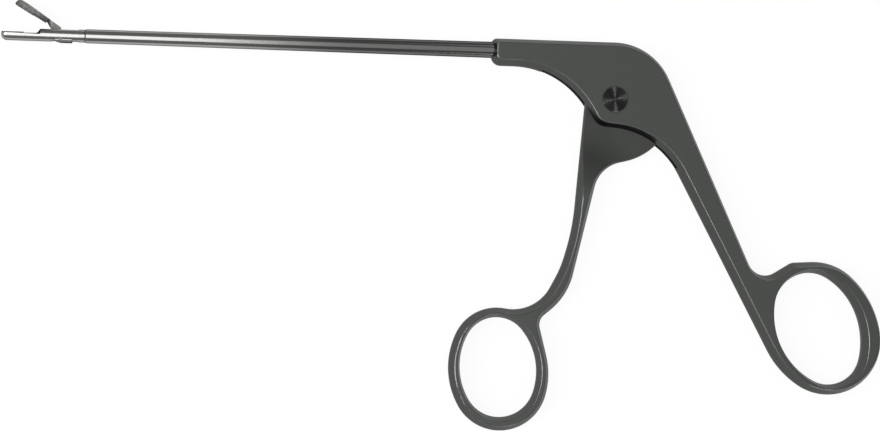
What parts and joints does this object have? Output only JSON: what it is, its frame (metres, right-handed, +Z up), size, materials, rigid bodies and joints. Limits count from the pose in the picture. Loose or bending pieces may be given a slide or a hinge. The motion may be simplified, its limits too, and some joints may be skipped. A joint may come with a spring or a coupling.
{
  "type": "loose body grasper",
  "caption": "Hand-held endoscopic grasper with ring handles, a slender tapered shaft and a hinged, toothed upper jaw driven by an inner rod.",
  "frame": {"origin": "where the handle's pivot axis meets the plane that the instrument lies on", "axes": "+X along the shaft from the jaws to the finger rings, +Y to the side that the upper jaw opens to, +Z up out of the plane that it lies on"},
  "size_m": [0.2381, 0.1112, 0.008],
  "materials": {
    "satin_dark_steel": "satin, blasted dark grey",
    "polished_steel": "polished",
    "turned_steel": "turned",
    "jaw_steel": "fine satin"
  },
  "bodies": {
    "frame": {"rear_handle": "satin_dark_steel", "pivot_pin": "turned_steel", "shaft_tube": "polished_steel", "rod_guide_bush": "turned_steel", "fixed_jaw": "jaw_steel", "jaw_pivot_pin": "turned_steel"},
    "front_handle": {"front_handle": "satin_dark_steel"},
    "drive_rod": {"drive_rod": "turned_steel", "rod_ball": "turned_steel", "rod_fork": "jaw_steel", "drive_pin": "turned_steel"},
    "upper_jaw": {"upper_jaw": "jaw_steel"}
  },
  "joints": [
    {"name": "handle_hinge", "type": "hinge", "parent": "frame", "child": "front_handle", "pos_m": [0, 0, 0.004], "axis": [0, 0, 1], "range_deg": [0, 9]},
    {"name": "rod_slide", "type": "slide", "parent": "frame", "child": "drive_rod", "axis": [-1, 0, 0], "range_m": [0, 0.00201]},
    {"name": "jaw_hinge", "type": "hinge", "parent": "frame", "child": "upper_jaw", "pos_m": [-0.14763, 0.0117, 0.004], "axis": [0, 0, 1], "range_deg": [0, 31.01]}
  ],
  "couplings": [
    {"joint": "rod_slide", "follows": "handle_hinge", "m_per_rad": 0.01275},
    {"joint": "jaw_hinge", "follows": "handle_hinge", "ratio": 3.4444}
  ]
}
